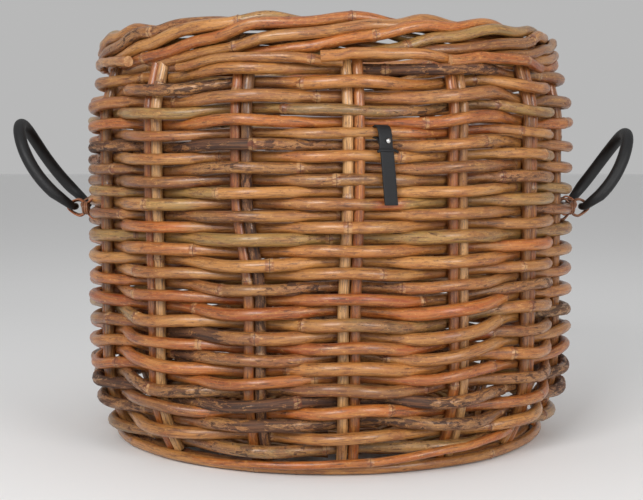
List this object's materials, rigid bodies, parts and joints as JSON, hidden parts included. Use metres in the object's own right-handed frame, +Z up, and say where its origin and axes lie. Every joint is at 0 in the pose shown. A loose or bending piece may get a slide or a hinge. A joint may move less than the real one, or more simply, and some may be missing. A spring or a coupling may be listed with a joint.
{
  "type": "wicker log basket",
  "caption": "Round open rattan log basket with paired stakes, woven rods, a rolled rim, two swinging leather loop handles and a small leather tag",
  "frame": {"origin": "centre of the footprint, on the surface that the basket stands on", "axes": "+Z up; front with the leather tag faces -Y; the two handles are on +X and -X"},
  "size_m": [0.769, 0.5981, 0.4759],
  "materials": {
    "stake_rattan": "rattan rods with the skin on, honey to copper with dark bark patches, clear satin lacquer",
    "weaver_rattan": "rattan rods in honey, russet, olive and brown, nodes and scuffed bark, clear satin lacquer",
    "rim_rattan": "thick rattan strands, honey and russet, clear satin lacquer",
    "base_rattan": "thinner rattan rods, duller than the wall",
    "lashing_cane": "split cane, coppery brown, shiny on the skin side",
    "handle_leather": "black rolled leather, low sheen",
    "tag_leather": "black leather strap with a fine grain and paler cut edges",
    "stud_metal": "polished domed stud"
  },
  "bodies": {
    "root": {"stake_01_left": "stake_rattan", "stake_01_right": "stake_rattan", "stake_02_left": "stake_rattan", "stake_02_right": "stake_rattan", "stake_03_left": "stake_rattan", "stake_03_right": "stake_rattan", "stake_04_left": "stake_rattan", "stake_04_right": "stake_rattan", "stake_05_left": "stake_rattan", "stake_05_right": "stake_rattan", "stake_06_left": "stake_rattan", "stake_06_right": "stake_rattan", "stake_07_left": "stake_rattan", "stake_07_right": "stake_rattan", "stake_08_left": "stake_rattan", "stake_08_right": "stake_rattan", "stake_09_left": "stake_rattan", "stake_09_right": "stake_rattan", "stake_10_left": "stake_rattan", "stake_10_right": "stake_rattan", "stake_11_left": "stake_rattan", "stake_11_right": "stake_rattan", "stake_12_left": "stake_rattan", "stake_12_right": "stake_rattan", "stake_13_left": "stake_rattan", "stake_13_right": "stake_rattan", "stake_14_left": "stake_rattan", "stake_14_right": "stake_rattan", "stake_15_left": "stake_rattan", "stake_15_right": "stake_rattan", "weaver_01": "weaver_rattan", "weaver_02": "weaver_rattan", "weaver_03": "weaver_rattan", "weaver_04": "weaver_rattan", "weaver_05": "weaver_rattan", "weaver_06": "weaver_rattan", "weaver_07": "weaver_rattan", "weaver_08": "weaver_rattan", "weaver_09": "weaver_rattan", "weaver_10": "weaver_rattan", "weaver_11": "weaver_rattan", "rim_strand_1": "rim_rattan", "rim_strand_2": "rim_rattan", "rim_strand_3": "rim_rattan", "rim_strand_4": "rim_rattan", "foot_ring_outer": "rim_rattan", "foot_ring_inner": "rim_rattan", "base_batten_1": "base_rattan", "base_batten_2": "base_rattan", "base_batten_3": "base_rattan", "base_panel": "base_rattan", "left_lashing_front": "lashing_cane", "left_lashing_back": "lashing_cane", "right_lashing_front": "lashing_cane", "right_lashing_back": "lashing_cane"},
    "right_handle": {"right_handle": "handle_leather"},
    "left_handle": {"left_handle": "handle_leather"},
    "tag": {"tag_strap": "tag_leather", "tag_keeper": "tag_leather", "tag_stud": "stud_metal"}
  },
  "joints": [
    {"name": "right_handle_swing", "type": "hinge", "parent": "root", "child": "right_handle", "pos_m": [0.30807, 0, 0.275], "axis": [0, -1, 0], "range_deg": [-118, 30]},
    {"name": "left_handle_swing", "type": "hinge", "parent": "root", "child": "left_handle", "pos_m": [-0.30807, 0, 0.275], "axis": [0, 1, 0], "range_deg": [-118, 30]},
    {"name": "tag_swing", "type": "hinge", "parent": "root", "child": "tag", "pos_m": [0.05735, -0.27512, 0.3581], "axis": [-0.8584, -0.513, 0], "range_deg": [0, 120]}
  ]
}
